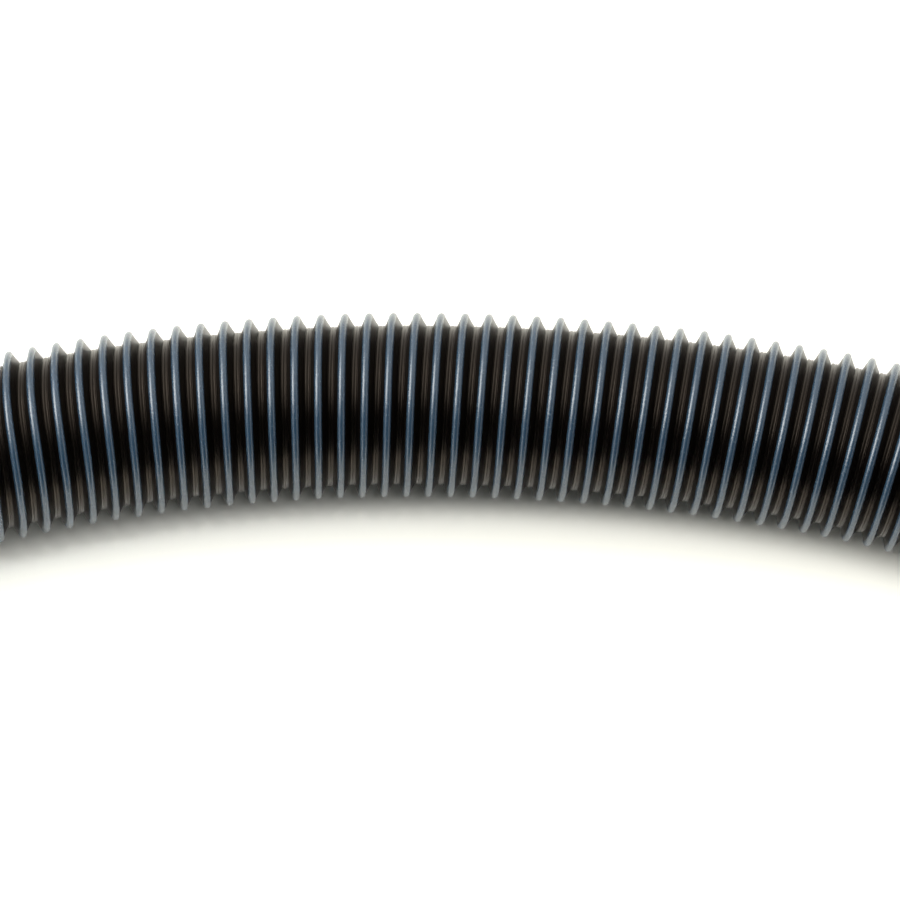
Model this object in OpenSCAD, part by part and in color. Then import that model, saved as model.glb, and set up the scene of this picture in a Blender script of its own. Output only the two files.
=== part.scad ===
// Pool vacuum hose, 38 mm bore: a spiral-wound hose with a plain cuff on one end and a swivel cuff
// on the other, wound into a flat coil that three hook-and-loop ties hold.
// Millimetres. +Z is up, and z = 0 is the floor that the hose lies on.

/* [Hose] */
// Outside diameter over the crests of the spiral rib
hose_od = 46.5; // [40:0.5:50]
// Thickness of the wall, from the smooth bore to the crests
hose_wall = 4.2; // [3:0.1:5.5]

/* [Coil] */
// Radius of the outer turns, at the middle of the hose
outer_turn_r = 256; // [250:1:300]

/* [Cuffs] */
// Bore of both cuffs, which a 38 mm spigot enters
cuff_bore = 38.1; // [32:0.1:39]
// Length of that bore
cuff_bore_l = 55; // [30:1:70]
// Gap round the hose in its socket, and at its end
socket_gap = 0.3; // [0.2:0.05:0.5]
// Wall of the plain cuff's socket, under its grip ribs
socket_wall = 2; // [1.5:0.1:4]
// Depth of the plain cuff's socket
socket_l = 45; // [25:1:60]
// Wall of the mouth of both cuffs
mouth_wall = 3.6; // [2.5:0.1:5]
// How far the rounded lip stands out round each mouth
lip_h = 1.2; // [0.4:0.1:1.2]
// Length of the taper between socket and mouth
taper_l = 12; // [6:1:18]
// Height of the grip ribs
grip_h = 0.6; // [0.3:0.1:1]
// Width of one grip rib
grip_w = 2.4; // [1:0.1:3]
// Number of grip ribs round a cuff
grip_count = 24; // [12:1:30]
// Bare band at each end of the grip ribs
grip_margin = 4; // [2:0.5:8]

/* [Swivel] */
// Running gap between the fixed and the turning pieces
swivel_gap = 0.3; // [0.1:0.05:0.5]
// Wall of the sleeve that is screwed on the hose
sleeve_wall = 1.7; // [1.2:0.1:3]
// How deep the hose goes into the sleeve
sleeve_l = 32; // [24:1:50]
// How far the sleeve's flange stands out from its barrel
flange_h = 2.4; // [1.5:0.1:3.5]
// Thickness of the flange
flange_t = 3; // [2:0.1:5]
// Width of the sleeve's collar, where it meets the bare hose
collar_l = 5; // [3:0.5:8]
// Thickness of the sealing washer
seal_t = 2; // [1:0.1:3]
// Length of the ring that keeps the flange in the cuff
ring_l = 6; // [3:0.5:8]
// Wall of the turning cuff round the flange
skirt_wall = 2.4; // [1.8:0.1:4]

/* [Ties] */
// Width of the hook-and-loop strap
tie_w = 25; // [15:1:40]
// Thickness of the strap
tie_t = 1.6; // [1:0.1:2.5]
// Gap between the strap and the hose
tie_gap = 0.2; // [0.1:0.05:0.5]
// Diameter of the buckle's two bars
bar_d = 3.2; // [2:0.1:5]
// Distance between the bars
bar_pitch = 14; // [11:0.5:20]
// Length of the strap's end that lies on the band below the buckle
tail_l = 6; // [3:0.5:8]
// Length of the strap's other end that is sewn to the band above the buckle
sewn_l = 5; // [3:0.5:8]

/* [Hidden] */
$fn = 64;

hose_r = hose_od / 2;
bore_r = hose_r - hose_wall;
socket_r = hose_r + socket_gap;
cuff_r = cuff_bore / 2;
mouth_r = cuff_r + mouth_wall;

// Coil: its centre, the radii of its lanes and the heights of its layers
join = [264, -104];
coil_c = [join[0] - outer_turn_r, join[1]];
inner_turn_r = outer_turn_r - hose_od;
groove_r = (outer_turn_r + inner_turn_r) / 2;
top_layer_z = hose_r + hose_od;
// A hose that lies in the groove between the two top turns
groove_z = top_layer_z + sqrt(pow(hose_od, 2) - pow(groove_r - inner_turn_r, 2));

// Plain cuff
fixed_r = socket_r + socket_wall + grip_h;
fixed_l = socket_l + cuff_bore_l;

// Swivel, measured along its axis from the back of the turning cuff
barrel_r = socket_r + sleeve_wall;
flange_r = barrel_r + flange_h;
pocket_r = flange_r + swivel_gap;
skirt_r = pocket_r + skirt_wall;
swivel_r = skirt_r + grip_h;
flange_z = ring_l + swivel_gap;
seal_z = flange_z + flange_t;
shoulder_z = seal_z + seal_t + swivel_gap;
swivel_l = shoulder_z + cuff_bore_l;
// Wall that the hose's end stops against, and the seal's clearance inside and outside
stop_t = 2;
seal_clear = 0.5;
hose_end_z = seal_z - stop_t;
// Height of the swivel's axis: the turning cuff clears the crest of the top turn
rest_gap = 0.3;
swivel_z = top_layer_z + hose_r + rest_gap + swivel_r;

// The hose's route from the plain cuff to the coil: x, y and the rise above its lying height
lead_route = [
    [-234, 318.2, 1], [-209, 325.9, 1], [-184, 333.6, 1], [-131, 349.3, 0.1], [-81, 357.5, 0],
    [-31, 360, 0], [19, 357.5, 0], [69, 349.5, 0], [125.5, 331, 0], [178.5, 297.5, 0],
    [221, 251, 0], [249.5, 195.5, 0], [260.5, 155, 0], [264, 105, 0], [264, 50, 0],
    [264, -5, 0], [264, -55, 0], [264, -104, 0]];
lead_rise = fixed_r - hose_r;
lead_points = [for (p = lead_route) [p[0], p[1], hose_r + p[2] * lead_rise]];

// The last turn climbs onto the coil. Each station is an angle clockwise from +X, a share of the
// way from the outer turn to the groove, and a share of the climb to the groove's height
tail_route = [
    [172, 0, 0], [188, 0, 0.12], [204, 0, 0.38], [222, 0, 0.68], [240, 0, 0.96], [260, 0, 1.13],
    [280, 0, 1.16], [305, 0.03, 1.16], [325, 0.2, 1.15], [350, 0.62, 1.07], [370, 0.92, 1.01],
    [385, 1, 1], [395, 1, 1], [405, 1, 1], [415, 1, 1], [425, 1, 1], [435, 1, 1], [445, 1, 1.01],
    [455, 1, 1.06], [466, 1.02, 1.17]];
function on_coil(angle, r, z) = [coil_c[0] + r * cos(angle), coil_c[1] - r * sin(angle), z];
tail_turn = [for (s = tail_route) on_coil(s[0],
    outer_turn_r + s[1] * (groove_r - outer_turn_r),
    top_layer_z + s[2] * (groove_z - top_layer_z))];

// The swivel lies along a line that passes the coil's centre a little nearer than the groove does:
// the angle where it comes nearest, how much nearer, and how far past there the turning cuff begins
swivel_angle = 486;
swivel_nearer = 1.75;
swivel_start = 45;
chord = -swivel_angle - 90;
along = [cos(chord), sin(chord), 0];
swivel_at = on_coil(swivel_angle, groove_r - swivel_nearer, swivel_z) + along * swivel_start;
sleeve_z = hose_end_z - sleeve_l;
// The hose is straight from one distance behind the sleeve to another, and on to its end
straight_from = 38;
straight_to = 6;
tail_straight = [for (z = [sleeve_z - straight_from, sleeve_z - straight_to, hose_end_z])
    swivel_at + along * z];
tail_points = concat(tail_turn, tail_straight);

// The plain cuff lies along the hose's first stretch, which ends just short of its shoulder
cuff_end = lead_points[0];
cuff_dir = lead_points[0] - lead_points[1];
cuff_angle = atan2(cuff_dir[1], cuff_dir[0]);

// Catmull-Rom spline through a list of points, and the frame of a ring on it
function spline(p, i, t) = let (
    n = len(p) - 1,
    a = p[max(i - 1, 0)], b = p[i], c = p[min(i + 1, n)], d = p[min(i + 2, n)],
    m0 = i == 0 ? c - b : (c - a) / 2,
    m1 = i + 1 >= n ? c - b : (d - b) / 2)
    b * (2 * pow(t, 3) - 3 * pow(t, 2) + 1) + m0 * (pow(t, 3) - 2 * pow(t, 2) + t)
    + c * (3 * pow(t, 2) - 2 * pow(t, 3)) + m1 * (pow(t, 3) - pow(t, 2));
function smoothed(p) = [for (i = [0:len(p) - 2], t = [0, 0.5]) spline(p, i, t), p[len(p) - 1]];
function unit(v) = v / norm(v);
function heading(line, i) = let (n = len(line) - 1)
    unit(line[min(i + 1, n)] - line[max(i - 1, 0)]);
function ring(at, dir, r, sides) = let (
    across = unit(cross(dir, [0, 0, 1])), up = cross(across, dir))
    [for (k = [0:sides - 1]) at + r * (across * cos(360 * k / sides) + up * sin(360 * k / sides))];

// A hollow tube with flat ends along the points of a line
sides = 12;
module tube(line, r_out, r_in) {
    n = len(line);
    rings = [for (i = [0:n - 1]) each concat(
        ring(line[i], heading(line, i), r_out, sides), ring(line[i], heading(line, i), r_in, sides))];
    step = 2 * sides;
    function quad(a, b, c, d) = [[a, b, c], [a, c, d]];
    walls = [for (i = [0:n - 2], k = [0:sides - 1]) let (
        a = i * step + k, b = i * step + (k + 1) % sides)
        each concat(quad(a, a + step, b + step, b),
            quad(b + sides, b + sides + step, a + sides + step, a + sides))];
    ends = [for (k = [0:sides - 1]) let (
        a = k, b = (k + 1) % sides, e = (n - 1) * step)
        each concat(quad(a, b, b + sides, a + sides),
            quad(e + b, e + a, e + a + sides, e + b + sides))];
    polyhedron(rings, concat(walls, ends), convexity = 6);
}

module hose_lead() {
    color("#2b2a28") tube(smoothed(lead_points), hose_r, bore_r);
}

module hose_tail() {
    color("#2b2a28") tube(smoothed(tail_points), hose_r, bore_r);
}

// Hoses that lie side by side, cut across: circles on the corners of a convex outline. A strap
// drawn round them also covers the strips between the circles
module bundle(corners, r, hoses_only = false) {
    n = len(corners);
    polygon(corners);
    for (i = [0:n - 1]) {
        a = corners[i];
        b = corners[(i + 1) % n];
        translate(a) circle(r);
        if (!hoses_only) translate(a) rotate(atan2(b[1] - a[1], b[0] - a[0]) - 90)
            square([r, norm(b - a)]);
    }
}

module hose_coil() {
    color("#2b2a28") translate(coil_c) rotate_extrude($fn = 96) bundle(tied(false), hose_r, true);
}

// Rounded lip round the mouth of a cuff
module lip(z) {
    translate([0, 0, z]) rotate_extrude() translate([mouth_r, 0]) circle(lip_h, $fn = 24);
}

module grip_ribs(r, z0, z1) {
    for (i = [0:grip_count - 1])
        rotate(360 * i / grip_count)
            translate([r - grip_h, -grip_w / 2, z0]) cube([2 * grip_h, grip_w, z1 - z0]);
}

// A cuff: a wide grip, a taper and a narrow mouth, with a socket in the grip and the bore in the
// mouth
module cuff_body(grip_r, grip_end, total, back_r) {
    edge = 1;
    difference() {
        union() {
            rotate_extrude() polygon([[0, 0], [grip_r - edge, 0], [grip_r, edge], [grip_r, grip_end],
                [mouth_r, grip_end + taper_l], [mouth_r, total], [0, total]]);
            lip(total - lip_h);
            grip_ribs(grip_r, grip_margin, grip_end - grip_margin);
        }
        translate([0, 0, -1]) cylinder(r = cuff_r, h = total + 2);
        translate([0, 0, -1]) cylinder(r = back_r, h = total - cuff_bore_l + 1);
    }
}

module fixed_cuff() {
    color("#1d1e20") translate(cuff_end) rotate([0, 0, cuff_angle]) rotate([0, 90, 0])
        translate([0, 0, socket_gap - socket_l]) cuff_body(socket_r + socket_wall, socket_l + 2, fixed_l, socket_r);
}

// Stands a piece of the swivel, drawn along +Z, on the swivel's own axis
module on_swivel() {
    translate(swivel_at) rotate([0, 0, chord]) rotate([0, 90, 0]) children();
}

module swivel_sleeve() {
    color("#33383d") on_swivel() difference() {
        union() {
            translate([0, 0, sleeve_z]) cylinder(r = barrel_r, h = seal_z - sleeve_z);
            translate([0, 0, flange_z]) cylinder(r = flange_r, h = flange_t);
            translate([0, 0, sleeve_z]) cylinder(r = flange_r, h = collar_l);
        }
        translate([0, 0, sleeve_z - 1]) cylinder(r = socket_r, h = sleeve_l + 1);
        translate([0, 0, hose_end_z - 1]) cylinder(r = bore_r, h = stop_t + 2);
    }
}

module swivel_seal() {
    color("#9c3a2e") on_swivel() translate([0, 0, seal_z]) difference() {
        cylinder(r = flange_r - seal_clear, h = seal_t);
        translate([0, 0, -1]) cylinder(r = cuff_r + seal_clear, h = seal_t + 2);
    }
}

module swivel_cuff() {
    color("#1d1e20") on_swivel() cuff_body(skirt_r, shoulder_z + 2, swivel_l, pocket_r);
}

module swivel_ring() {
    color("#33383d") on_swivel() difference() {
        cylinder(r = pocket_r, h = ring_l);
        translate([0, 0, -1]) cylinder(r = barrel_r + swivel_gap, h = ring_l + 2);
    }
}

// Ties: their angles clockwise from +X, and whether the last turn passes over the coil there
tie_angles = [40, 80, 165];
tie_over_last = [true, true, false];
tie_side = outer_turn_r + hose_r + tie_gap;
buckle_z = (hose_r + top_layer_z) / 2;
bar_r = bar_d / 2;
bar_x = tie_side + tie_t + bar_r;

module tie_place(angle) {
    translate(coil_c) rotate([90, 0, -angle]) children();
}

// Middles of the turns that a tie goes round
function tied(over) = [
    [inner_turn_r, hose_r], [outer_turn_r, hose_r], [outer_turn_r, top_layer_z],
    if (over) [groove_r, groove_z],
    [inner_turn_r, top_layer_z]];

// The band lies flat on the floor, where its thickness is pressed into the soft hose above it
module strap_band(over) {
    linear_extrude(tie_w) difference() {
        above(0) bundle(tied(over), hose_r + tie_gap + tie_t);
        above(tie_t) bundle(tied(over), hose_r + tie_gap);
    }
}

module above(z) {
    intersection() {
        children();
        translate([0, z]) square([2 * outer_turn_r, 2 * groove_z]);
    }
}

// One ply round a buckle bar, from the band's outer face round the bar and back
module ply_round_bar(dir) {
    difference() {
        circle(bar_r + tie_gap / 2 + tie_t);
        circle(bar_r + tie_gap / 2);
        translate([-2 * bar_x, dir > 0 ? 0 : -2 * bar_x]) square([4 * bar_x, 2 * bar_x]);
    }
}

module tie_strap(angle, over) {
    reach = bar_pitch / 2;
    band_x = tie_side + tie_t;
    fold_x = bar_x + bar_r + tie_gap / 2;
    slant = 3 * bar_d;
    tie_place(angle) translate([0, 0, -tie_w / 2]) {
        difference() {
            strap_band(over);
            translate([tie_side - 1, buckle_z - reach, -1]) cube([2 * bar_d, 2 * reach, tie_w + 2]);
        }
        linear_extrude(tie_w) for (dir = [-1, 1]) translate([0, buckle_z + dir * reach]) {
            translate([bar_x, 0]) ply_round_bar(dir);
            end_l = slant + (dir < 0 ? tail_l : sewn_l);
            polygon([[fold_x, 0], [fold_x + tie_t, 0], [band_x + tie_t, dir * slant],
                [band_x + tie_t, dir * end_l], [band_x, dir * end_l], [band_x, dir * slant]]);
        }
    }
}

module tie_buckle(angle) {
    reach = bar_pitch / 2;
    side = tie_w / 2 + bar_r + tie_gap;
    color("#111214") tie_place(angle) translate([bar_x, buckle_z, 0]) {
        for (dir = [-1, 1]) translate([0, dir * reach, -side]) cylinder(r = bar_r, h = 2 * side, $fn = 32);
        for (dir = [-1, 1]) translate([0, reach, dir * side]) rotate([90, 0, 0])
            cylinder(r = bar_r, h = bar_pitch, $fn = 32);
        for (x = [-1, 1], y = [-1, 1]) translate([0, x * reach, y * side]) sphere(bar_r, $fn = 32);
    }
}

module tie_strap_a() { color("#24272b") tie_strap(tie_angles[0], tie_over_last[0]); }
module tie_strap_b() { color("#24272b") tie_strap(tie_angles[1], tie_over_last[1]); }
module tie_strap_c() { color("#24272b") tie_strap(tie_angles[2], tie_over_last[2]); }
module tie_buckle_a() { tie_buckle(tie_angles[0]); }
module tie_buckle_b() { tie_buckle(tie_angles[1]); }
module tie_buckle_c() { tie_buckle(tie_angles[2]); }

hose_lead();
hose_coil();
hose_tail();
fixed_cuff();
swivel_sleeve();
swivel_seal();
swivel_cuff();
swivel_ring();
tie_strap_a();
tie_strap_b();
tie_strap_c();
tie_buckle_a();
tie_buckle_b();
tie_buckle_c();
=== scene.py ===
"""Pool vacuum hose: a spiral-wound hose with a plain cuff, a swivel cuff and three ties.

The cuffs, swivel pieces and buckles are the frame's own solids, dressed with materials here. The
hose's ribbed wall, its inner layer, the straps and their stitches are built in this script."""
import math

import bpy
import numpy as np
from mathutils import Matrix, Vector


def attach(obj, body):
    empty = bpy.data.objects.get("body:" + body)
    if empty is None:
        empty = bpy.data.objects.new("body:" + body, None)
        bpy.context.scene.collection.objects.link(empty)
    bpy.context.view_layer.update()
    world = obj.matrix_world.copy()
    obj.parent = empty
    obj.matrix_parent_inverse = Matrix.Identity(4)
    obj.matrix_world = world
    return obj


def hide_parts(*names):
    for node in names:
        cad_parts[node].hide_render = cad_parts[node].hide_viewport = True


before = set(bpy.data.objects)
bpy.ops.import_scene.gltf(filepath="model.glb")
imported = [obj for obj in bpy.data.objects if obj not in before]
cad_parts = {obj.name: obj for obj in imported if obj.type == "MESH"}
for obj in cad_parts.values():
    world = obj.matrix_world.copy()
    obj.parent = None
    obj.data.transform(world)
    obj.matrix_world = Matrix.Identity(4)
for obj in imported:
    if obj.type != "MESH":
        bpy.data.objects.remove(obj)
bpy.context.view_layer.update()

MM = 0.001

# ---------------------------------------------------------------- sizes, in metres
HOSE_R = 23.25 * MM          # over the crests of the rib
LAND_R = 19.97 * MM          # the flat land between two ribs
BORE_R = 19.05 * MM
CORE_UNDER = 0.4 * MM        # how far the inner layer's skin lies below the land
PITCH = 5.812 * MM           # of the left-hand helix
LEAD_RISE = 2.9 * MM         # how far the plain cuff lifts the hose's end

OUTER_R = 256 * MM           # the coil's outer turns, at the middle of the hose
INNER_R = OUTER_R - 2 * HOSE_R
GROOVE_R = (OUTER_R + INNER_R) / 2
COIL_C = Vector((8 * MM, -104 * MM, 0))
LOW_Z = HOSE_R
TOP_Z = 3 * HOSE_R
GROOVE_Z = TOP_Z + math.sqrt(4 * HOSE_R ** 2 - (GROOVE_R - INNER_R) ** 2)

SWIVEL_AT = Vector((-164.184, -264.4326, 124.25)) * MM
SWIVEL_DIR = Vector((-0.809017, 0.587785, 0))
SLEEVE_Z, HOSE_END_Z = -24.7 * MM, 7.3 * MM     # along the swivel's axis

TIE_ANGLES = (40, 80, 165)                      # degrees clockwise from +X
TIE_OVER_LAST = (True, True, False)             # whether a tie goes over the last turn too
TIE_W, TIE_T, TIE_GAP = 25 * MM, 1.6 * MM, 0.2 * MM
BAR_R, BAR_PITCH = 1.6 * MM, 14 * MM            # the buckle's two bars
# The strap comes off a bar at a slant, over this height, and then lies doubled for these lengths
SLANT, SEWN_L, TAIL_L = 9.6 * MM, 5 * MM, 6 * MM


# ---------------------------------------------------------------- camera
CAMERA_AT = Vector((-35.92, 24.67, 694.03)) * MM
CAMERA_YAW, CAMERA_PITCH, CAMERA_ROLL = -2.604, 64.307, 0.702     # degrees
CAMERA_LENS, CAMERA_SENSOR = 118.78, 36         # millimetres
CAMERA_CLIP = (0.05, 60)                        # metres


def make_camera():
    yaw, pitch, roll = (math.radians(a) for a in (CAMERA_YAW, CAMERA_PITCH, CAMERA_ROLL))
    ahead = Vector((math.sin(yaw) * math.cos(pitch), math.cos(yaw) * math.cos(pitch), -math.sin(pitch)))
    level = Vector((math.cos(yaw), -math.sin(yaw), 0))
    above = level.cross(ahead)
    right = math.cos(roll) * level + math.sin(roll) * above
    up = math.cos(roll) * above - math.sin(roll) * level
    turn = Matrix((right, up, -ahead)).transposed().to_4x4()
    data = bpy.data.cameras.new("camera")
    data.lens, data.sensor_width = CAMERA_LENS, CAMERA_SENSOR
    data.clip_start, data.clip_end = CAMERA_CLIP
    camera = bpy.data.objects.new("camera", data)
    camera.matrix_world = Matrix.Translation(CAMERA_AT) @ turn
    bpy.context.scene.collection.objects.link(camera)
    bpy.context.scene.camera = camera


make_camera()
bpy.context.scene.view_settings.view_transform = "Standard"


# ---------------------------------------------------------------- the hose's route
# From the plain cuff to the coil: x, y, in millimetres, and the share of the rise above lying height
LEAD_ROUTE = (
    (-234, 318.2, 1), (-209, 325.9, 1), (-184, 333.6, 1), (-131, 349.3, 0.1), (-81, 357.5, 0),
    (-31, 360, 0), (19, 357.5, 0), (69, 349.5, 0), (125.5, 331, 0), (178.5, 297.5, 0),
    (221, 251, 0), (249.5, 195.5, 0), (260.5, 155, 0), (264, 105, 0), (264, 50, 0),
    (264, -5, 0), (264, -55, 0), (264, -104, 0))
# The last turn: angle clockwise from +X, share of the way in to the groove, share of the climb
TAIL_ROUTE = (
    (172, 0, 0), (188, 0, 0.12), (204, 0, 0.38), (222, 0, 0.68), (240, 0, 0.96), (260, 0, 1.13),
    (280, 0, 1.16), (305, 0.03, 1.16), (325, 0.2, 1.15), (350, 0.62, 1.07), (370, 0.92, 1.01),
    (385, 1, 1), (395, 1, 1), (405, 1, 1), (415, 1, 1), (425, 1, 1), (435, 1, 1), (445, 1, 1.01),
    (455, 1, 1.06), (466, 1.02, 1.17))
# The hose runs straight from and up to these distances before the swivel's sleeve
STRAIGHT_FROM, STRAIGHT_TO = 38 * MM, 6 * MM
# The coil's moves between lanes and layers, in degrees from its start: it moves in, climbs, moves out
MOVE_IN, CLIMB, MOVE_OUT = (285, 360), (595, 700), (915, 1035)
COIL_END = TAIL_ROUTE[0][0] + 3 * 360           # where the last turn takes over
COIL_STEP = 10

SPAN_POINTS = 24             # dense points between two points of the route
LINE_STEP = 1 * MM
STEADY_POINTS = 15           # points on each side that even out the direction of a point


def on_coil(angle, radius, z):
    a = math.radians(angle)
    return Vector((COIL_C.x + radius * math.cos(a), COIL_C.y - radius * math.sin(a), z))


def eased(angle, window):
    share = (angle - window[0]) / (window[1] - window[0])
    return (1 - math.cos(math.pi * min(max(share, 0), 1))) / 2


def coil_point(angle):
    inward = eased(angle, MOVE_IN) - eased(angle, MOVE_OUT)
    radius = OUTER_R + inward * (INNER_R - OUTER_R)
    return on_coil(angle, radius, LOW_Z + eased(angle, CLIMB) * (TOP_Z - LOW_Z))


def spline(points):
    """Catmull-Rom through the points, straight at both ends, as dense points."""
    p = np.array([tuple(q) for q in points])
    last = len(p) - 1
    t = np.linspace(0, 1, SPAN_POINTS, endpoint=False)[:, None]
    dense = []
    for i in range(last):
        b, c = p[i], p[i + 1]
        m0 = c - b if i == 0 else (c - p[i - 1]) / 2
        m1 = c - b if i + 1 == last else (p[i + 2] - b) / 2
        dense.append(b * (2 * t**3 - 3 * t**2 + 1) + m0 * (t**3 - 2 * t**2 + t)
                     + c * (3 * t**2 - 2 * t**3) + m1 * (t**3 - t**2))
    return np.vstack(dense + [p[-1:]])


def along(s, at, values):
    """The rows of values, known at the arc lengths at, for the arc lengths s."""
    return np.column_stack([np.interp(s, at, column) for column in values.T])


def unit(vectors):
    return vectors / np.linalg.norm(vectors, axis=1)[:, None]


def arc_lengths(points):
    return np.r_[0, np.cumsum(np.linalg.norm(np.diff(points, axis=0), axis=1))]


class Line:
    """The hose's middle line by arc length, with an upright frame at each point."""

    def __init__(self, dense):
        run = arc_lengths(dense)
        self.length = float(run[-1])
        self.at = np.linspace(0, self.length, int(self.length / LINE_STEP) + 1)
        self.middle = along(self.at, run, dense)
        ahead = np.gradient(self.middle, axis=0)
        padded = np.pad(ahead, ((STEADY_POINTS, STEADY_POINTS), (0, 0)), mode="edge")
        kernel = np.hanning(2 * STEADY_POINTS + 3)[1:-1]
        kernel /= kernel.sum()
        self.ahead = unit(np.column_stack([np.convolve(column, kernel, "valid") for column in padded.T]))

    def frames(self, s):
        """Middle, up and side vectors at the arc lengths s. Side points left of the way ahead."""
        ahead = unit(along(s, self.at, self.ahead))
        up = unit(np.array([0, 0, 1.0]) - ahead[:, 2:3] * ahead)
        return along(s, self.at, self.middle), up, np.cross(up, ahead)


lead = [Vector((x * MM, y * MM, HOSE_R + share * LEAD_RISE)) for x, y, share in LEAD_ROUTE]
coil = [coil_point(a) for a in range(COIL_STEP, COIL_END, COIL_STEP)]
tail = [on_coil(a, OUTER_R + inward * (GROOVE_R - OUTER_R), TOP_Z + climb * (GROOVE_Z - TOP_Z))
        for a, inward, climb in TAIL_ROUTE]
straight = [SWIVEL_AT + SWIVEL_DIR * z
            for z in (SLEEVE_Z - STRAIGHT_FROM, SLEEVE_Z - STRAIGHT_TO, HOSE_END_Z)]
line = Line(spline(lead + coil + tail + straight))


# ---------------------------------------------------------------- materials
# Colours are linear, as pairs of a dark and a light end where noise moves between them. Scales of
# noise and spots are per metre
WALL_COLOURS, WALL_LINT = ((0.0010, 0.0008, 0.0007), (0.0024, 0.0020, 0.0017)), (0.40, 0.38, 0.35)
WALL_ROUGH, WALL_TINT = (0.28, 0.36), (1.0, 0.82, 0.68)
WALL_GRAIN = 0.03 * MM       # height of its fine unevenness
# The flank's lower shine is painted shade: it stands in for the neighbouring rib and the shadowed floor
# under the hose
WALL_SHINE, FLANK_SHADE_SHINE = 0.5, 0.22
# Lines in the land: middle and half width as shares of the pitch, and depth
WALL_LINES = ((0.397, 0.022, 0.25 * MM), (0.555, 0.024, 0.14 * MM), (0.655, 0.022, 0.12 * MM))
BEAD_COLOURS, BEAD_LINT = ((0.011, 0.029, 0.053), (0.017, 0.037, 0.063)), (0.45, 0.45, 0.44)
BEAD_SPECKS, BEAD_TINT = (0.07, 0.10, 0.13), (0.95, 0.98, 1.0)
BORE_COLOURS = ((0.010, 0.010, 0.010), (0.020, 0.019, 0.018))
MOULDED_WORN = (0.16, 0.16, 0.16)
SCRATCH_PALE, SCRATCH_ROUGH, SCUFF_PALE = 0.5, 0.15, 0.7     # how much they show in colour and finish
POLISHED, DULLED = 0.07, 0.08                   # what the clouds take from and add to the roughness
# Fine scratches run in two directions: noise squeezed by these along x, y and z
SCRATCH_SQUEEZES = ((40, 900, 1400), (1300, 60, 800))
WEBBING_COLOURS, WEBBING_WORN = ((0.010, 0.012, 0.016), (0.050, 0.056, 0.066)), (0.085, 0.090, 0.100)
THREAD_ACROSS, THREAD_ALONG = 0.62, 0.75        # the webbing's threads, in millimetres
THREAD_HEIGHT, FUZZ_HEIGHT, WORN_SHARE = 0.7, 0.5, 0.35      # as shares of its relief and colour
PILE_COLOURS = ((0.008, 0.009, 0.011), (0.045, 0.049, 0.056))
THREAD_COLOURS = ((0.10, 0.115, 0.13), (0.22, 0.24, 0.26))
# Scuffs: the scale of the noise that bends their outlines and a shift beside it, cells per metre, the
# radius of a spot as a share of its cell, from full to none, and the random number above which a
# cell holds a spot
SCUFF_WOBBLE, SCUFF_SHIFT = 900, (0.8 * MM, 0.8 * MM, 0.8 * MM)
SCUFF_CELLS, SCUFF_RADIUS, SCUFF_PICK = 90, (0.035, 0.06), 0.93


class Nodes:
    """The node tree of a material or a world, with short calls for the nodes used here."""

    def __init__(self, owner, shader="Principled BSDF"):
        owner.use_nodes = True
        self.owner, self.tree = owner, owner.node_tree
        self.shader = self.tree.nodes[shader]

    def put(self, socket, value):
        """Links an output into the socket, or sets the socket's own value."""
        if isinstance(value, bpy.types.NodeSocket):
            self.tree.links.new(value, socket)
        else:
            socket.default_value = (*value, 1) if socket.type == "RGBA" else value

    def add(self, kind, inputs=(), **settings):
        node = self.tree.nodes.new(kind)
        for key, value in settings.items():
            setattr(node, key, value)
        for key, value in dict(inputs).items():
            self.put(node.inputs[key], value)
        return node

    def set(self, **sockets):
        for key, value in sockets.items():
            self.put(self.shader.inputs[key.replace("_", " ")], value)

    def place(self):
        return self.add("ShaderNodeTexCoord").outputs["Object"]

    def math(self, operation, a, b=0.0):
        return self.add("ShaderNodeMath", {0: a, 1: b}, operation=operation).outputs[0]

    def invert(self, value):
        return self.math("SUBTRACT", 1.0, value)

    def vector(self, operation, *values):
        inputs = dict(enumerate(values))
        return self.add("ShaderNodeVectorMath", inputs, operation=operation).outputs[0]

    def noise(self, vector, scale, detail=2.0, roughness=0.5):
        inputs = {"Vector": vector, "Scale": scale, "Detail": detail, "Roughness": roughness}
        return self.add("ShaderNodeTexNoise", inputs).outputs["Fac"]

    def ramp(self, value, low, high):
        """0 below low, 1 above high, and smooth between."""
        return self.add("ShaderNodeMapRange", {"Value": value, "From Min": low, "From Max": high},
                        interpolation_type="SMOOTHSTEP").outputs["Result"]

    def span(self, share, low, high):
        """Low where the share is 0 and high where it is 1."""
        inputs = {"Value": share, "To Min": low, "To Max": high}
        return self.add("ShaderNodeMapRange", inputs).outputs["Result"]

    def mix(self, share, a, b, kind="RGBA"):
        node = self.add("ShaderNodeMix", data_type=kind)
        for key, value in (("Factor", share), ("A", a), ("B", b)):
            self.put([i for i in node.inputs if i.name == key and i.enabled][0], value)
        return [o for o in node.outputs if o.enabled][0]

    def bump(self, height, depth):
        node = self.add("ShaderNodeBump", {"Height": height, "Distance": depth})
        self.set(Normal=node.outputs["Normal"])


def new_material(name):
    return Nodes(bpy.data.materials.new(name))


def scuffs(n, place):
    """Sparse pale nicks and lint: 1 on a few small irregular spots, 0 elsewhere."""
    inputs = {"Vector": place, "Scale": SCUFF_WOBBLE, "Detail": 1}
    wobble = n.add("ShaderNodeTexNoise", inputs).outputs["Color"]
    shifted = n.vector("ADD", place, n.vector("MULTIPLY_ADD", place, wobble, SCUFF_SHIFT))
    cells = n.add("ShaderNodeTexVoronoi", {"Vector": shifted, "Scale": SCUFF_CELLS})
    pick = n.add("ShaderNodeSeparateColor", {0: cells.outputs["Color"]}).outputs[0]
    spot = n.invert(n.ramp(cells.outputs["Distance"], *SCUFF_RADIUS))
    return n.math("MULTIPLY", spot, n.math("GREATER_THAN", pick, SCUFF_PICK))


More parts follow.
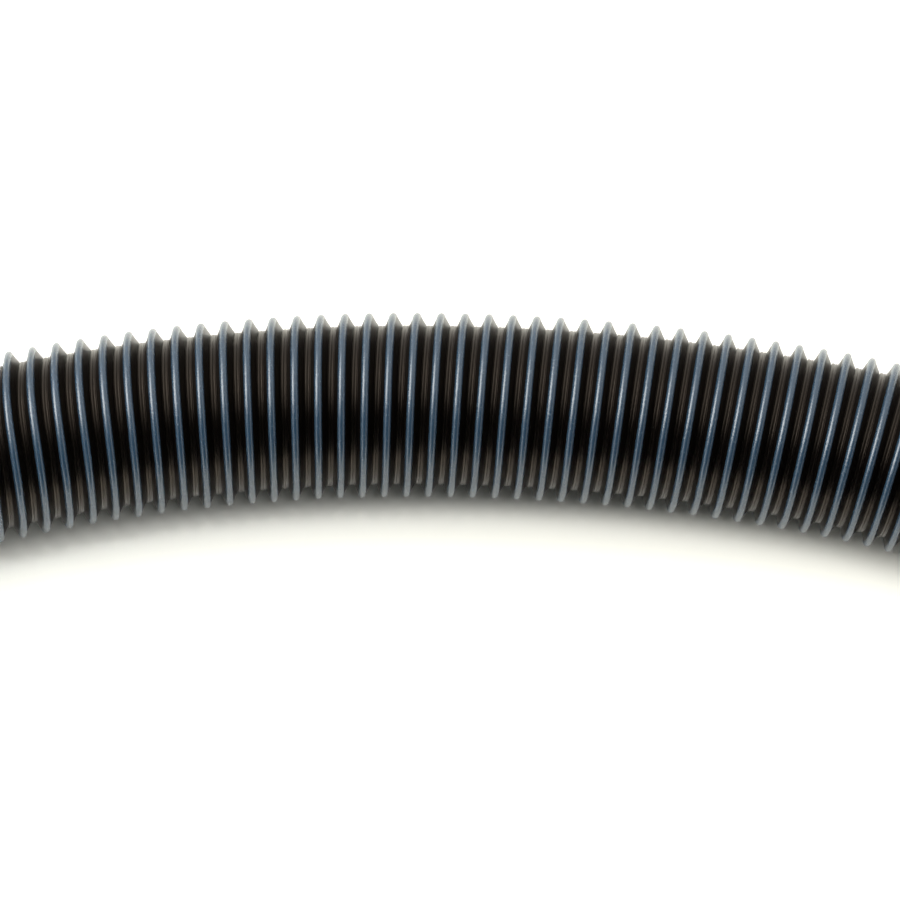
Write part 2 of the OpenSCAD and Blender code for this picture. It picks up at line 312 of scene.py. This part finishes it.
def wall_material(name, shine):
    """Black extruded strip: satin, with faint drawing marks and a little dust. A copy with lower shine
    is painted shade on the rib flanks.
    """
    n = new_material(name)
    place = n.place()
    cloud = n.noise(place, scale=70, detail=3, roughness=0.6)
    n.set(Base_Color=n.mix(scuffs(n, place), n.mix(cloud, *WALL_COLOURS), WALL_LINT))
    n.set(Roughness=n.span(cloud, *WALL_ROUGH))
    n.set(Specular_Tint=WALL_TINT, Specular_IOR_Level=shine, IOR=1.5)
    # The coarse stretches carry their place on the pitch, for the fine lines of the land. On the fine
    # stretches those lines are in the mesh, and the attribute reads 0
    share = n.add("ShaderNodeAttribute", attribute_name="rib_share").outputs["Fac"]
    relief = n.math("MULTIPLY", n.noise(place, scale=2600), WALL_GRAIN)
    for centre, half, depth in WALL_LINES:
        away = n.math("ABSOLUTE", n.math("SUBTRACT", share, centre))
        groove = n.invert(n.ramp(away, 0.0, half))
        relief = n.math("SUBTRACT", relief, n.math("MULTIPLY", groove, depth))
    # The relief is in metres already
    n.bump(relief, depth=1.0)
    return n.owner


def bead_material():
    """Blue-grey bead, co-extruded on the crest: slightly speckled."""
    n = new_material("hose_bead")
    place = n.place()
    speck = n.noise(place, scale=2300, roughness=0.6)
    base = n.mix(n.noise(place, scale=55), *BEAD_COLOURS)
    speckled = n.mix(n.ramp(speck, low=0.58, high=0.76), base, BEAD_SPECKS)
    n.set(Base_Color=n.mix(scuffs(n, place), speckled, BEAD_LINT))
    n.set(Roughness=0.25, Specular_Tint=BEAD_TINT, Specular_IOR_Level=0.85)
    n.bump(speck, depth=0.08 * MM)
    return n.owner


def bore_material():
    """The smooth inner layer, faintly uneven."""
    n = new_material("hose_bore")
    rings = n.noise(n.place(), scale=400)
    n.set(Base_Color=n.mix(rings, *BORE_COLOURS), Roughness=0.42)
    n.bump(rings, depth=0.05 * MM)
    return n.owner


def moulded_material(name, dark, light, rough):
    """Moulded plastic with fine grain, scratches and slightly polished high spots."""
    n = new_material(name)
    place = n.place()
    cloud = n.noise(place, scale=45, detail=3, roughness=0.6)
    lines = [n.ramp(n.noise(n.vector("MULTIPLY", place, squeeze), scale=1.0), low=0.70, high=0.76)
             for squeeze in SCRATCH_SQUEEZES]
    scratched = n.ramp(n.noise(place, scale=60), low=0.45, high=0.65)
    scratches = n.math("MULTIPLY", n.math("MAXIMUM", *lines), scratched)
    scuffed = n.math("MULTIPLY", scuffs(n, place), SCUFF_PALE)
    worn = n.math("MAXIMUM", n.math("MULTIPLY", scratches, SCRATCH_PALE), scuffed)
    n.set(Base_Color=n.mix(worn, n.mix(cloud, dark, light), MOULDED_WORN), IOR=1.5)
    clouded = n.span(cloud, rough - POLISHED, rough + DULLED)
    n.set(Roughness=n.math("ADD", clouded, n.math("MULTIPLY", scratches, SCRATCH_ROUGH)))
    n.bump(n.math("SUBTRACT", n.noise(place, scale=3200), scratches), depth=0.05 * MM)
    return n.owner


def webbing_material():
    """Herringbone webbing: the vector attribute weave holds millimetres across and along the strap."""
    n = new_material("strap_webbing")
    weave = n.add("ShaderNodeAttribute", attribute_name="weave").outputs["Vector"]
    across, lengthways, _ = n.add("ShaderNodeSeparateXYZ", {0: weave}).outputs
    waves = [n.math("ABSOLUTE", n.math("SINE", n.math("MULTIPLY", value, math.pi / thread)))
             for value, thread in ((across, THREAD_ACROSS), (lengthways, THREAD_ALONG))]
    threads = n.math("MULTIPLY", *waves)
    fuzz = n.noise(weave, scale=1.6, detail=4, roughness=0.7)
    height = n.math("ADD", n.math("MULTIPLY", threads, THREAD_HEIGHT),
                    n.math("MULTIPLY", fuzz, FUZZ_HEIGHT))
    worn = n.ramp(n.noise(weave, scale=0.16, detail=3, roughness=0.6), low=0.5, high=0.75)
    base = n.mix(n.math("MULTIPLY", worn, WORN_SHARE), n.mix(height, *WEBBING_COLOURS), WEBBING_WORN)
    n.set(Base_Color=base, Roughness=0.82, Sheen_Weight=0.25, Sheen_Roughness=0.45)
    n.bump(height, depth=0.16 * MM)
    return n.owner


def pile_material():
    """The soft loop pile that the tail closes on."""
    n = new_material("strap_loop_pile")
    loops = n.noise(n.place(), scale=2400, detail=4, roughness=0.75)
    n.set(Base_Color=n.mix(n.ramp(loops, low=0.35, high=0.7), *PILE_COLOURS))
    n.set(Roughness=0.95, Sheen_Weight=0.5, Sheen_Roughness=0.5)
    n.bump(loops, depth=0.3 * MM)
    return n.owner


def thread_material():
    """Twisted sewing thread."""
    n = new_material("strap_thread")
    twist = n.noise(n.place(), scale=5200)
    n.set(Base_Color=n.mix(twist, *THREAD_COLOURS), Roughness=0.6)
    n.bump(twist, depth=0.08 * MM)
    return n.owner


# The flank's copy of the wall reflects less: painted shade between the ribs
WALL, FLANK = wall_material("hose_wall", WALL_SHINE), wall_material("hose_flank_shaded", FLANK_SHADE_SHINE)
BEAD, BORE = bead_material(), bore_material()
CUFF = moulded_material("cuff_plastic", (0.010, 0.0105, 0.011), (0.020, 0.021, 0.022), 0.40)
SWIVEL = moulded_material("swivel_plastic", (0.045, 0.052, 0.060), (0.065, 0.074, 0.083), 0.38)
SEAL = moulded_material("seal_rubber", (0.20, 0.035, 0.02), (0.26, 0.05, 0.03), 0.62)
BUCKLE = moulded_material("buckle_plastic", (0.009, 0.009, 0.010), (0.016, 0.016, 0.017), 0.30)
WEBBING, PILE, THREAD = webbing_material(), pile_material(), thread_material()


# ---------------------------------------------------------------- meshes
def make_object(name, points, faces, materials, face_material=None):
    """A smooth-shaded object of equal polygons, with one material index for each face, or none."""
    mesh = bpy.data.meshes.new(name)
    points = np.asarray(points, dtype=np.float32)
    faces = np.asarray(faces, dtype=np.int32)
    corners = faces.shape[1]
    mesh.vertices.add(len(points))
    mesh.vertices.foreach_set("co", points.ravel())
    mesh.loops.add(faces.size)
    mesh.loops.foreach_set("vertex_index", faces.ravel())
    mesh.polygons.add(len(faces))
    mesh.polygons.foreach_set("loop_start", np.arange(len(faces), dtype=np.int32) * corners)
    mesh.polygons.foreach_set("loop_total", np.full(len(faces), corners, dtype=np.int32))
    mesh.polygons.foreach_set("use_smooth", np.full(len(faces), True))
    if face_material is not None:
        mesh.polygons.foreach_set("material_index", np.asarray(face_material, dtype=np.int32))
    mesh.update(calc_edges=True)
    mesh.validate()
    for material in materials:
        mesh.materials.append(material)
    obj = bpy.data.objects.new(name, mesh)
    bpy.context.scene.collection.objects.link(obj)
    return obj


def join(a, b, c, d):
    """Quads from four equal grids of their corners."""
    return np.stack([a, b, c, d], axis=-1).reshape(-1, 4)


# ---------------------------------------------------------------- the hose's wall
# The wall's profile along one pitch, from the bead's near shoulder: share of the pitch from the
# bead's middle, height above the land in millimetres. The bead ends at SHOULDER, the long flank at LAP
SHOULDER, LAP = 0.158, 0.38
FINE_PROFILE = (
    (-0.170, 1.98), (-0.161, 2.26), (-0.135, 2.62), (-0.078, 2.96), (0.0, 3.10), (0.075, 3.00),
    (0.128, 2.72), (0.150, 2.42), (0.158, 2.18), (0.205, 1.72), (0.26, 1.14), (0.32, 0.60),
    (0.372, 0.13), (0.385, -0.27), (0.402, -0.29), (0.415, 0.0), (0.445, 0.11), (0.49, 0.12),
    (0.54, 0.02), (0.555, -0.11), (0.572, 0.02), (0.61, 0.09), (0.642, 0.02), (0.655, -0.10),
    (0.672, 0.06), (0.715, 0.45), (0.76, 1.10), (0.80, 1.62))
COARSE_PROFILE = (
    (-0.165, 2.04), (-0.095, 2.90), (0.0, 3.10), (0.092, 2.95), (0.155, 2.22), (0.30, 0.80),
    (0.385, 0.02), (0.415, 0.05), (0.53, 0.07), (0.64, 0.07), (0.68, 0.12), (0.77, 1.22))
# Points round one turn of the photographed run, of the cuff's end and of the rest
FINE_AROUND, CUFF_END_AROUND, COARSE_AROUND = 112, 48, 32
# The photographed run is split at these x, and the rest of the hose into equal stretches
FINE_RUN = (-178 * MM, -54 * MM, 72 * MM)
COARSE_STRETCHES = 5
WALL_CLEAR = 0.5 * MM        # the wall stops this far from the hose's ends
NO_AREA = 1e-10              # in square metres: smaller faces are dropped
CORE_SIDES, CORE_STEP = 32, 7 * MM

# A crest lies on top of the hose at this x, but for a small shift along it
CREST_X, CREST_SHIFT = -54.41 * MM, -0.36 * MM
LEAD_L = 600 * MM            # the run's length, in which each x is passed once

# Towards the plain cuff the ribs are drawn apart a little, all but their far side, which stays back:
# how far, between which x it sets in, and the angle and narrowness of the side that stays
DRAWN, DRAWN_X = 2.3 * MM, (-165 * MM, -100 * MM)
HELD_ANGLE, HELD_POWER = math.radians(-64.3), 2.7

# Under each tie the soft hose is pressed flat by the band that it lies on: by how much, over which
# half width, and over what length beside it the pressing fades
PRESSED, PRESSED_HALF, PRESSED_FADE = 1.75 * MM, 14 * MM, 16 * MM


def lead_arc_length(x):
    """Arc length at which the run out of the plain cuff reaches this x."""
    on_lead = line.at < LEAD_L
    return float(np.interp(x, line.middle[on_lead, 0], line.at[on_lead]))


helix_start = (lead_arc_length(CREST_X) + CREST_SHIFT) % PITCH - PITCH
drawn_span = [lead_arc_length(x) for x in DRAWN_X]


def drawn(s, phi):
    """Arc lengths of the ribs, with those near the plain cuff moved towards it."""
    t = np.clip((s - drawn_span[0]) / (drawn_span[1] - drawn_span[0]), 0, 1)
    held = np.maximum(np.cos(phi - HELD_ANGLE), 0) ** HELD_POWER
    return s - DRAWN * (1 - t * t * (3 - 2 * t)) * (1 - held)


def press_down(points):
    """Lifts the underside of the hose where a tie passes below it."""
    flat = points[:, :2] - np.array(COIL_C.xy)
    low = points[:, 2] < 2 * HOSE_R
    for angle in TIE_ANGLES:
        a = math.radians(angle)
        out, beside = np.array([math.cos(a), -math.sin(a)]), np.array([math.sin(a), math.cos(a)])
        near = low & (flat @ out > INNER_R - 2 * HOSE_R)
        share = np.clip((np.abs(flat @ beside) - PRESSED_HALF) / PRESSED_FADE, 0, 1)
        floor = PRESSED * (1 + np.cos(np.pi * share)) / 2
        points[:, 2] = np.where(near, np.maximum(points[:, 2], floor), points[:, 2])
    return points


def wall_points(first, rows, around, share, height):
    """The spiral sheet's points: a row for each step of the helix, and one pitch along each row."""
    turn = first + np.arange(rows) / around
    s = helix_start + PITCH * (turn[:, None] + share[None, :])
    s = np.hstack([s, s[:, :1] + PITCH])
    phi = np.broadcast_to((-2 * math.pi * turn)[:, None], s.shape)
    s = np.clip(drawn(s, phi), WALL_CLEAR, line.length - WALL_CLEAR)
    radius = np.broadcast_to(LAND_R + np.r_[height, height[0]], s.shape)
    middle, up, side = line.frames(s.ravel())
    phi, radius = phi.ravel()[:, None], radius.ravel()[:, None]
    return press_down(middle + radius * (np.cos(phi) * up - np.sin(phi) * side))


def ribbed_wall(name, start, end, around, profile):
    """The spiral wall between two arc lengths: one sheet, wound as a left-hand helix."""
    first = round((start - helix_start) / PITCH)
    turns = round((end - start) / PITCH)
    share, height = np.array(profile).T
    # The bead's top is at the hose's full radius
    height = height / height.max() * (HOSE_R - LAND_R)
    rows, columns = turns * around + 1, len(profile)
    points = wall_points(first, rows, around, share, height)
    # Where the next turn's rows exist, the sheet shares their points
    index = np.arange(rows * (columns + 1)).reshape(rows, columns + 1)
    shared = index.copy()
    shared[:rows - around, columns] = index[around:, 0]
    faces = join(shared[:-1, :-1], shared[1:, :-1], shared[1:, 1:], shared[:-1, 1:])
    after = np.r_[share[1:], share[0] + 1]
    middles = (share + after) / 2
    # Faces of the long flank take the less reflective copy, as painted shade
    kinds = np.tile(np.select([middles < SHOULDER, middles < LAP], [1, 2]), rows - 1)
    # Faces that the hose's ends cut off have no area left
    diagonals = points[faces[:, 2:]] - points[faces[:, :2]]
    keep = np.linalg.norm(np.cross(diagonals[:, 0], diagonals[:, 1]), axis=1) > NO_AREA
    used, faces = np.unique(faces[keep], return_inverse=True)
    wall = make_object(name, points[used], faces.reshape(-1, 4), (WALL, BEAD, FLANK), kinds[keep])
    if profile is COARSE_PROFILE:
        corners = np.column_stack([share, share, after, after])
        place = wall.data.attributes.new("rib_share", "FLOAT", "CORNER")
        place.data.foreach_set("value", np.tile(corners, (rows - 1, 1))[keep].ravel())
    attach(wall, "hose")
    return wall


def smooth_tube(name, outer, inner):
    """The hose's inner layer, from end to end, open at both ends."""
    count = round(line.length / CORE_STEP)
    middle, up, side = line.frames(np.linspace(0, line.length, count + 1))
    phi = np.linspace(0, 2 * math.pi, CORE_SIDES, endpoint=False)
    spoke = np.cos(phi)[None, :, None] * up[:, None] - np.sin(phi)[None, :, None] * side[:, None]
    skins = [middle[:, None] + radius * spoke for radius in (outer, inner)]
    points = np.concatenate([skin.reshape(-1, 3) for skin in skins])
    ring = np.arange((count + 1) * CORE_SIDES).reshape(count + 1, CORE_SIDES)
    turned = np.roll(ring, -1, axis=1)
    outside = join(ring[:-1], ring[1:], turned[1:], turned[:-1])
    inside = outside[:, ::-1] + ring.size
    front = join(ring[0], turned[0], turned[0] + ring.size, ring[0] + ring.size)
    back = join(ring[-1], ring[-1] + ring.size, turned[-1] + ring.size, turned[-1])
    tube = make_object(name, points, np.concatenate([outside, inside, front, back]), (BORE,))
    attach(tube, "hose")
    return tube


def make_hose():
    # Whole turns from the helix's start, so that neighbouring stretches meet
    run = [lead_arc_length(x) for x in FINE_RUN]
    end = helix_start + PITCH * math.ceil((line.length - helix_start) / PITCH)
    rest = list(np.linspace(run[-1], end, COARSE_STRETCHES + 1))
    marks = [helix_start + PITCH * round((s - helix_start) / PITCH) for s in run + rest[1:]]
    stretches = [("hose_wall_cuff_end", CUFF_END_AROUND, COARSE_PROFILE)]
    stretches += [(f"hose_wall_run_{i + 1}", FINE_AROUND, FINE_PROFILE)
                  for i in range(len(FINE_RUN) - 1)]
    stretches += [(f"hose_wall_turn_{i + 1}", COARSE_AROUND, COARSE_PROFILE)
                  for i in range(COARSE_STRETCHES)]
    walls = [ribbed_wall(name, start, stop, around, profile)
             for (name, around, profile), start, stop in zip(stretches, [helix_start] + marks, marks)]
    core = smooth_tube("hose_core", LAND_R - CORE_UNDER, BORE_R)
    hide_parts("hose_lead", "hose_coil", "hose_tail")
    return core, walls


hose_core, hose_walls = make_hose()


# ---------------------------------------------------------------- ties
WEAVE_STEP = 0.6 * MM        # between two rows of a strap's points
ARC_DEGREES = 6              # of a bend round a hose, for each point of the route
LOOP_POINTS = 9              # round a buckle's bar
SMOOTHINGS = 4               # passes that round the route's corners
SAME_POINT = 1e-7            # metres between two points that are one
HERRING_W, HERRING_L, HERRING_H = 3.4, 2.4, 0.11      # millimetres
FACE_POINTS, EDGE_TURN = 27, (54, 18, -18, -54)       # of the strap's section; degrees
TIP_R, TIP_CUT = 4 * MM, 0.98                         # the tip's corners, and how far round they go
PILE_L, PILE_MARGIN = 62 * MM, 1.5 * MM
PILE_H, PILE_LEAST, PILE_CHANCE = 0.25 * MM, 0.6, 0.7     # height, its least share and the random one
FLOOR_WEAVE = 0.3            # the share of the weave's height left where the strap lies on the floor

# Where the strap is sewn, in millimetres: the box's near and far side and half width, then the half
# width of the rows along the pile, and how far those stop short of it
BOX_NEAR, BOX_FAR, BOX_HALF = 0.9, 4.6, 10.5
ROWS_HALF, ROWS_SHORT = 10.6, 1
STITCH_L, STITCH_W, STITCH_H = 1.1 * MM, 0.30 * MM, 0.24 * MM     # half sizes
STITCH_PITCH = 2.9 * MM
STITCH_SIDES, STITCH_RINGS = range(0, 360, 45), (-90, -55, -20, 20, 55, 90)      # degrees


def tied_corners(over_last):
    """Middles of the hoses that a tie goes round, against the clock from the outer one above, as
    distance from the coil's middle and height, with the directions where the strap leaves each."""
    top = ([(OUTER_R, TOP_Z, 0, 30), (GROOVE_R, GROOVE_Z, 30, 150), (INNER_R, TOP_Z, 150, 180)]
           if over_last else [(OUTER_R, TOP_Z, 0, 90), (INNER_R, TOP_Z, 90, 180)])
    return top + [(INNER_R, LOW_Z, 180, 270), (OUTER_R, LOW_Z, 270, 360)]


def tie_route(over_last):
    """The strap's middle line in a tie's own plane, from its sewn end to its tail."""
    side = OUTER_R + HOSE_R + TIE_GAP
    bar_x, middle_z = side + TIE_T + BAR_R, (LOW_Z + TOP_Z) / 2
    turn_r = BAR_R + TIE_GAP / 2 + TIE_T / 2
    lies_x = side + 1.5 * TIE_T     # the middle of a second layer
    route = []
    for sign, end in ((1, SEWN_L), (-1, TAIL_L)):
        bar_z = middle_z + sign * BAR_PITCH / 2
        half = [(lies_x, bar_z + sign * (SLANT + end)), (lies_x, bar_z + sign * SLANT)]
        for a in np.linspace(0, math.pi, LOOP_POINTS):
            half.append((bar_x + turn_r * math.cos(a), bar_z - sign * turn_r * math.sin(a)))
        route.append(half)
    around = []
    reach = HOSE_R + TIE_GAP + TIE_T / 2
    for x, z, start, stop in tied_corners(over_last):
        for a in np.radians(np.linspace(start, stop, 3 + (stop - start) // ARC_DEGREES)):
            around.append((x + reach * math.cos(a), z + reach * math.sin(a)))
    points = np.array(route[0] + around + route[1][::-1])
    points[:, 1] = np.maximum(points[:, 1], TIE_T / 2)
    run = arc_lengths(points)
    keep = np.r_[True, np.diff(run) > SAME_POINT]
    at = np.linspace(0, run[-1], round(run[-1] / WEAVE_STEP) + 1)
    smooth = along(at, run[keep], points[keep])
    for _ in range(SMOOTHINGS):
        smooth[1:-1] = (smooth[:-2] + 2 * smooth[1:-1] + smooth[2:]) / 4
    return at, smooth


def herringbone(across, lengthways):
    """Height of the weave, in metres, for millimetres across and along the strap."""
    column = np.floor(across / HERRING_W + 0.5)
    local = across - column * HERRING_W
    slope = np.where(column % 2 == 0, 1.0, -1.0)
    wave = np.cos(2 * math.pi * (lengthways / HERRING_L + slope * local / HERRING_W))
    return HERRING_H * MM * wave * np.sqrt(np.cos(math.pi * local / HERRING_W).clip(0))


def strap_section():
    """Rounded cross-section: across and out, in metres, and +1 or -1 on its outer and inner faces."""
    half_w, half_t = TIE_W / 2, TIE_T / 2 - HERRING_H * MM
    flat, turn = np.linspace(half_t - half_w, half_w - half_t, FACE_POINTS), np.radians(EDGE_TURN)
    bulge = half_w - half_t + half_t * np.cos(turn)
    across = np.r_[flat, bulge, flat[::-1], -bulge]
    face = np.repeat((1, 0, -1, 0), (len(flat), len(turn), len(flat), len(turn)))
    out = half_t * face
    out[face == 0] = half_t * np.r_[np.sin(turn), -np.sin(turn)]
    return across, out, face


def strap_frame(angle, middle):
    """Maps rows of the route, widths and heights off the strap's middle to places in space."""
    ahead = unit(np.gradient(middle, axis=0))
    normal = np.column_stack([ahead[:, 1], -ahead[:, 0]])
    a = math.radians(angle)
    radial, tangent = np.array([math.cos(a), -math.sin(a), 0]), np.array([-math.sin(a), -math.cos(a), 0])
    above = np.array([0, 0, 1.0])

    def place(row, wide, lift):
        flat = middle[row] + lift[..., None] * normal[row]
        return (np.array(COIL_C) + flat[..., :1] * radial + wide[..., None] * tangent
                + flat[..., 1:] * above)

    return place


def stitch_rows(tail_starts):
    """Where the strap is sewn: rows' two ends, in metres along and across it, and the outer or inner
    face that shows them, as +1 or -1."""
    near_left, near_right = (BOX_NEAR, -BOX_HALF), (BOX_NEAR, BOX_HALF)
    far_left, far_right = (BOX_FAR, -BOX_HALF), (BOX_FAR, BOX_HALF)
    box = [near_left, near_right, far_right, far_left, near_left, far_right]
    rows = [(start, stop, -1) for start, stop in zip(box, box[1:])] + [(near_right, far_left, -1)]
    first = (tail_starts - PILE_L) / MM + ROWS_SHORT
    last = (tail_starts - BAR_PITCH / 2) / MM - ROWS_SHORT
    rows += [((first, side * ROWS_HALF), (last, side * ROWS_HALF), 1) for side in (-1, 1)]
    rows += [((first, -ROWS_HALF), (first, ROWS_HALF), 1)]
    return [(np.array(start) * MM, np.array(stop) * MM, face) for start, stop, face in rows]


def make_stitches(name, at, place, tail_starts):
    """Sewing thread as rows of small bars, on the outer face of the strap."""
    turn, ring = np.radians(STITCH_SIDES)[None, :], np.radians(STITCH_RINGS)[:, None]
    girth = STITCH_W * np.cos(ring) * np.cos(turn)
    height = STITCH_H * np.cos(ring) * np.sin(turn)
    reach = np.broadcast_to(STITCH_L * np.sin(ring), girth.shape)
    index = np.arange(reach.size).reshape(reach.shape)
    after = np.roll(index, -1, axis=1)
    bar = join(index[:-1], index[1:], after[1:], after[:-1])
    points, faces = [], []
    for start, stop, face in stitch_rows(tail_starts):
        length = np.linalg.norm(stop - start)
        way = (stop - start) / length
        lift = height + face * TIE_T / 2
        count = max(1, round(length / STITCH_PITCH))
        for k in range(count):
            centre = start + (stop - start) * (k + 0.5) / count
            s = centre[0] + reach * way[0] - girth * way[1]
            wide = centre[1] + reach * way[1] + girth * way[0]
            row = np.clip(np.rint(s / WEAVE_STEP), 0, len(at) - 2).astype(int)
            slide = (s - at[row])[..., None] / WEAVE_STEP
            near = place(row, wide, lift)
            thread = (near + slide * (place(row + 1, wide, lift) - near)).reshape(-1, 3)
            thread[:, 2] = np.maximum(thread[:, 2], 0)      # pressed flat on the floor
            faces.append(bar + len(points) * reach.size)
            points.append(thread)
    return make_object(name, np.concatenate(points), np.concatenate(faces), (THREAD,))


def strap_faces(rows, count):
    """Quads round and along the strap, and those that close its ends, between opposite points."""
    ring = np.arange(rows * count).reshape(rows, count)
    after = np.roll(ring, -1, axis=1)
    skin = join(ring[:-1], after[:-1], after[1:], ring[1:])
    k = np.arange(-len(EDGE_TURN) // 2, FACE_POINTS + len(EDGE_TURN) // 2 - 1)
    opposite = 2 * FACE_POINTS + len(EDGE_TURN) - 1 - k
    cap = np.column_stack([k, k + 1, opposite - 1, opposite]) % count
    return skin, np.concatenate([cap[:, ::-1], cap + (rows - 1) * count])


def make_strap(letter, angle, over_last):
    at, middle = tie_route(over_last)
    place = strap_frame(angle, middle)
    across, out, face = strap_section()
    row = np.repeat(np.arange(len(at))[:, None], len(across), axis=1)
    # The tip is cut round
    short = TIP_R - np.minimum(at[-1] - at, TIP_R)
    width = 1 - (TIP_R - np.sqrt(TIP_R ** 2 - short ** 2 * TIP_CUT)) / (TIE_W / 2)
    wide = width[:, None] * across
    lengthways = np.broadcast_to(at[:, None], wide.shape)
    tail_starts = at[-1] - TAIL_L - SLANT - math.pi * (BAR_R + TIE_T / 2)
    on_pile = ((lengthways > tail_starts - PILE_L) & (lengthways < tail_starts - BAR_PITCH / 2)
               & (face > 0) & (np.abs(wide) < TIE_W / 2 - PILE_MARGIN))
    rng = np.random.default_rng(ord(letter))
    pile = PILE_H * (PILE_LEAST + PILE_CHANCE * rng.random(wide.shape))
    pressed = np.where(middle[:, 1] < TIE_T, FLOOR_WEAVE, 1.0)[:, None]
    relief = np.where(on_pile, pile, herringbone(wide / MM, lengthways / MM)) * pressed * face
    points = place(row, wide, out + relief)
    skin, caps = strap_faces(*wide.shape)
    looped = (on_pile & np.roll(on_pile, -1, axis=1))[:-1] & on_pile[1:]
    kinds = np.r_[looped.ravel().astype(int), np.zeros(len(caps), dtype=int)]
    strap = make_object(f"strap_{letter}", points.reshape(-1, 3), np.concatenate([skin, caps]),
                        (WEBBING, PILE), kinds)
    weave = strap.data.attributes.new("weave", "FLOAT_VECTOR", "POINT")
    weave.data.foreach_set("vector", np.stack([wide, lengthways, 0 * wide], axis=-1).ravel() / MM)
    stitches = make_stitches(f"strap_stitches_{letter}", at, place, tail_starts)
    for piece in (strap, stitches):
        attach(piece, "hose")
    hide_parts(f"tie_strap_{letter}")


for letter, angle, over_last in zip("abc", TIE_ANGLES, TIE_OVER_LAST):
    make_strap(letter, angle, over_last)


# ---------------------------------------------------------------- the frame's own pieces
NODE_MATERIALS = {
    "fixed_cuff": CUFF, "swivel_cuff": CUFF, "swivel_sleeve": SWIVEL, "swivel_ring": SWIVEL,
    "swivel_seal": SEAL, "tie_buckle_a": BUCKLE, "tie_buckle_b": BUCKLE, "tie_buckle_c": BUCKLE}

for node, material in NODE_MATERIALS.items():
    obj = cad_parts[node]
    obj.data.materials.clear()
    obj.data.materials.append(material)


# ---------------------------------------------------------------- floor and light
FLOOR_HALF, FLOOR_COLOUR = 14.0, (0.93, 0.925, 0.855)
FLOOR_FADE = (0.75, 1.3)     # distances from the middle where the seen floor fades to plain white
# Strengths of the white studio and the dark stand, and what the softbox adds
WORLD_LIGHT, WORLD_DARK, BOX_LIGHT = 1.12, 0.006, 7.5
WORLD_TINT, LAMP_TINT = (1.0, 0.985, 0.945), (0.985, 0.99, 1.0)
# Where the dark stand fades into the white studio, and the softbox on the left: degrees of height,
# and the sideways part of the direction
STAND_TOP, STAND_FOOT, STAND_SIDE = (54, 112), (-8, 28), (0.62, 0.9)
BOX_FRONT, BOX_BACK, BOX_SIDE = (58, 74), (112, 150), (-0.70, -0.32)


def make_floor():
    h = FLOOR_HALF
    n = new_material("floor_white")
    floor = make_object("floor", [(-h, -h, 0), (h, -h, 0), (h, h, 0), (-h, h, 0)], [(0, 1, 2, 3)],
                        (n.owner,))
    n.set(Base_Color=FLOOR_COLOUR, Roughness=0.9, Specular_IOR_Level=0.0)
    light = n.add("ShaderNodeEmission", {"Color": (1, 1, 1), "Strength": 1.0})
    distance = n.add("ShaderNodeVectorMath", {0: n.place()}, operation="LENGTH").outputs["Value"]
    path = n.add("ShaderNodeLightPath").outputs
    seen = n.math("MAXIMUM", path["Is Camera Ray"], path["Is Glossy Ray"])
    seen = n.math("MAXIMUM", seen, path["Is Transmission Ray"])
    share = n.math("MULTIPLY", n.ramp(distance, *FLOOR_FADE), seen)
    mixed = n.add("ShaderNodeMixShader", {0: share, 1: n.shader.outputs[0], 2: light.outputs[0]})
    n.put(n.tree.nodes["Material Output"].inputs["Surface"], mixed.outputs[0])


def make_world():
    """A white studio, seen white by the camera, with a dark stand in front of the hose."""
    n = Nodes(bpy.data.worlds.new("studio"), "Background")
    bpy.context.scene.world = n.owner
    coords = n.add("ShaderNodeTexCoord").outputs["Generated"]
    x, y, z = n.add("ShaderNodeSeparateXYZ", {0: coords}).outputs
    # Height of a direction, seen along X: 0 in front of the hose, 90 overhead, 180 behind it
    height = n.math("MULTIPLY", n.math("ARCTAN2", z, n.math("MULTIPLY", y, -1.0)), 180 / math.pi)
    dark = n.invert(n.ramp(height, *STAND_TOP))
    dark = n.math("MULTIPLY", dark, n.ramp(height, *STAND_FOOT))
    dark = n.math("MULTIPLY", dark, n.invert(n.ramp(n.math("ABSOLUTE", x), *STAND_SIDE)))
    white = n.math("ADD", n.math("MULTIPLY", n.invert(dark), WORLD_LIGHT), WORLD_DARK)
    box = n.math("MULTIPLY", n.ramp(height, *BOX_FRONT), n.invert(n.ramp(height, *BOX_BACK)))
    box = n.math("MULTIPLY", box, n.invert(n.ramp(x, *BOX_SIDE)))
    white = n.math("ADD", white, n.math("MULTIPLY", box, BOX_LIGHT))
    seen = n.add("ShaderNodeLightPath").outputs["Is Camera Ray"]
    n.set(Color=n.mix(seen, WORLD_TINT, (1, 1, 1)), Strength=n.mix(seen, white, 1.0, "FLOAT"))


def make_lamp(name, at, toward, size, power, spread):
    """A soft square lamp that lights surfaces and isn't mirrored in them."""
    data = bpy.data.lights.new(name, "AREA")
    data.shape, data.size = "SQUARE", size
    data.energy, data.spread, data.color = power, math.radians(spread), LAMP_TINT
    lamp = bpy.data.objects.new(name, data)
    lamp.location = at
    lamp.rotation_euler = (Vector(toward) - Vector(at)).to_track_quat("-Z", "Y").to_euler()
    lamp.visible_glossy = False
    bpy.context.scene.collection.objects.link(lamp)


make_floor()
make_world()
# Overhead and a little in front: it gives the short soft shadow on the floor
make_lamp("top_light", at=(0.45, -0.2, 2.6), toward=(-0.03, 0.30, 0), size=1.1, power=36, spread=180)
# A narrow one over the plain cuff, against the softbox's long shadow there
make_lamp("cuff_light", at=(-0.27, 0.2, 1.2), toward=(-0.27, 0.27, 0), size=0.3, power=0.17, spread=20)
